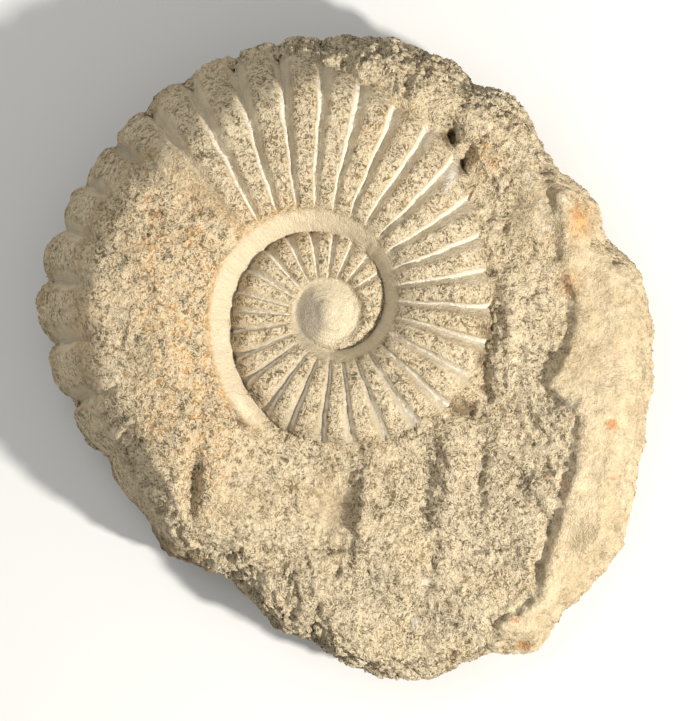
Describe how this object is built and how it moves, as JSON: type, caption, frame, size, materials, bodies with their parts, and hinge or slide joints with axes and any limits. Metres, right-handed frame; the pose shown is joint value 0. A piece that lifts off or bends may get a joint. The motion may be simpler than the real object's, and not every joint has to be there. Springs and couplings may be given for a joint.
{
  "type": "fossil ammonite",
  "caption": "Coiled, ribbed fossil shell cleaned out of its rough block of limestone, lying face up on a small flat spot.",
  "frame": {"origin": "middle of the stone's footprint, at the height of the flat spot that it lies on", "axes": "+Z up, out of the face that carries the coil; +X to the right and +Y up as the coil is seen from above, with the ribbed outer edge of the shell towards -X and the end of the shell's crust towards -Y"},
  "size_m": [0.2299, 0.2398, 0.0732],
  "materials": {
    "limestone": "matt, mottled tan and grey limestone, paler where it was cleaned and browner on the ribs"
  },
  "bodies": {
    "root": {"fossil_ammonite": "limestone"}
  },
  "joints": []
}
